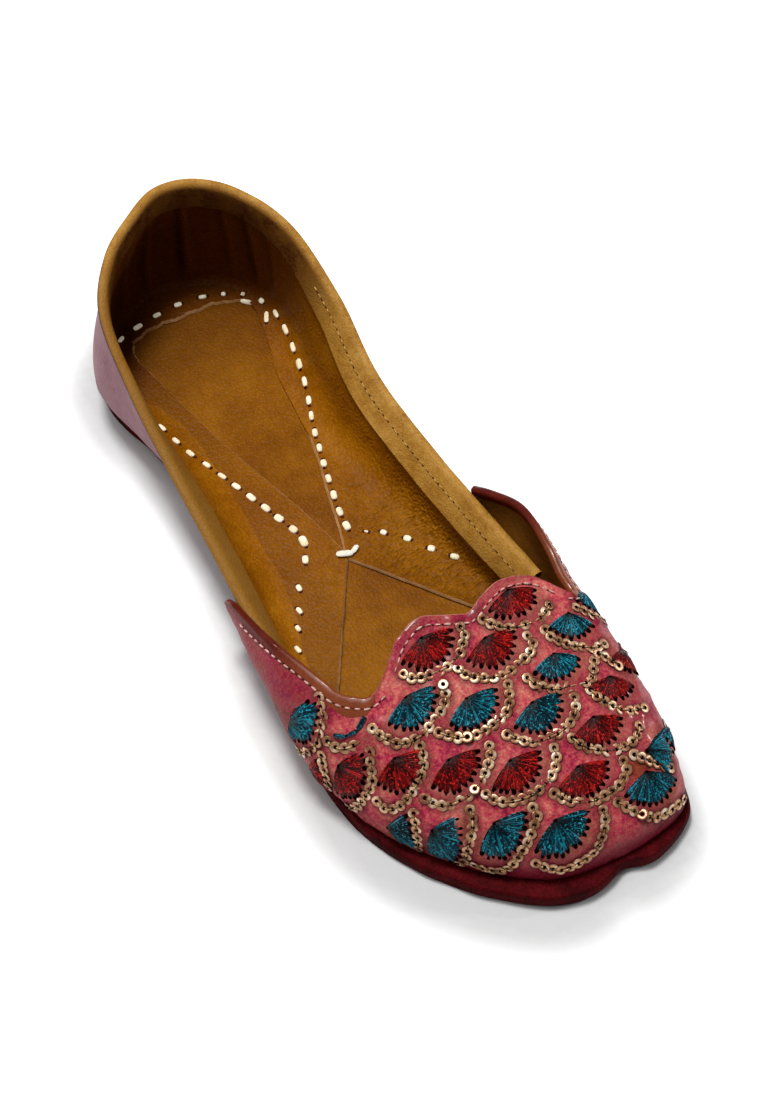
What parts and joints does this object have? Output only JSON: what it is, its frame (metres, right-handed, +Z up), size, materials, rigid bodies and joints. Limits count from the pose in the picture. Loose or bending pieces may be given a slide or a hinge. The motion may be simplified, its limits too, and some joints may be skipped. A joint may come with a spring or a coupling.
{
  "type": "jutti",
  "caption": "Flat slip-on leather shoe with an embroidered vamp, scalloped throat, low open sides, a stitched tan insole and a dyed leather sole.",
  "frame": {"origin": "on the floor, under the middle of the shoe's box", "axes": "+X from heel to toe, +Y to the wearer's left, +Z up"},
  "size_m": [0.2492, 0.0932, 0.0574],
  "materials": {
    "outsole": "dyed maroon sole leather, waxed edge",
    "insole": "tan vegetable leather with fine grain",
    "lining_flange": "tan lining leather",
    "quarter": "pink dyed leather outside, tan lining inside",
    "topline_binding": "golden tan folded binding",
    "vamp": "hand dyed pink leather, half gloss, embroidered",
    "wing_binding": "rolled reddish brown binding"
  },
  "bodies": {
    "root": {"outsole": "outsole", "insole": "insole", "lining_flange": "lining_flange", "quarter": "quarter", "topline_binding": "topline_binding", "vamp": "vamp", "wing_binding_outer": "wing_binding", "wing_binding_inner": "wing_binding"}
  },
  "joints": []
}
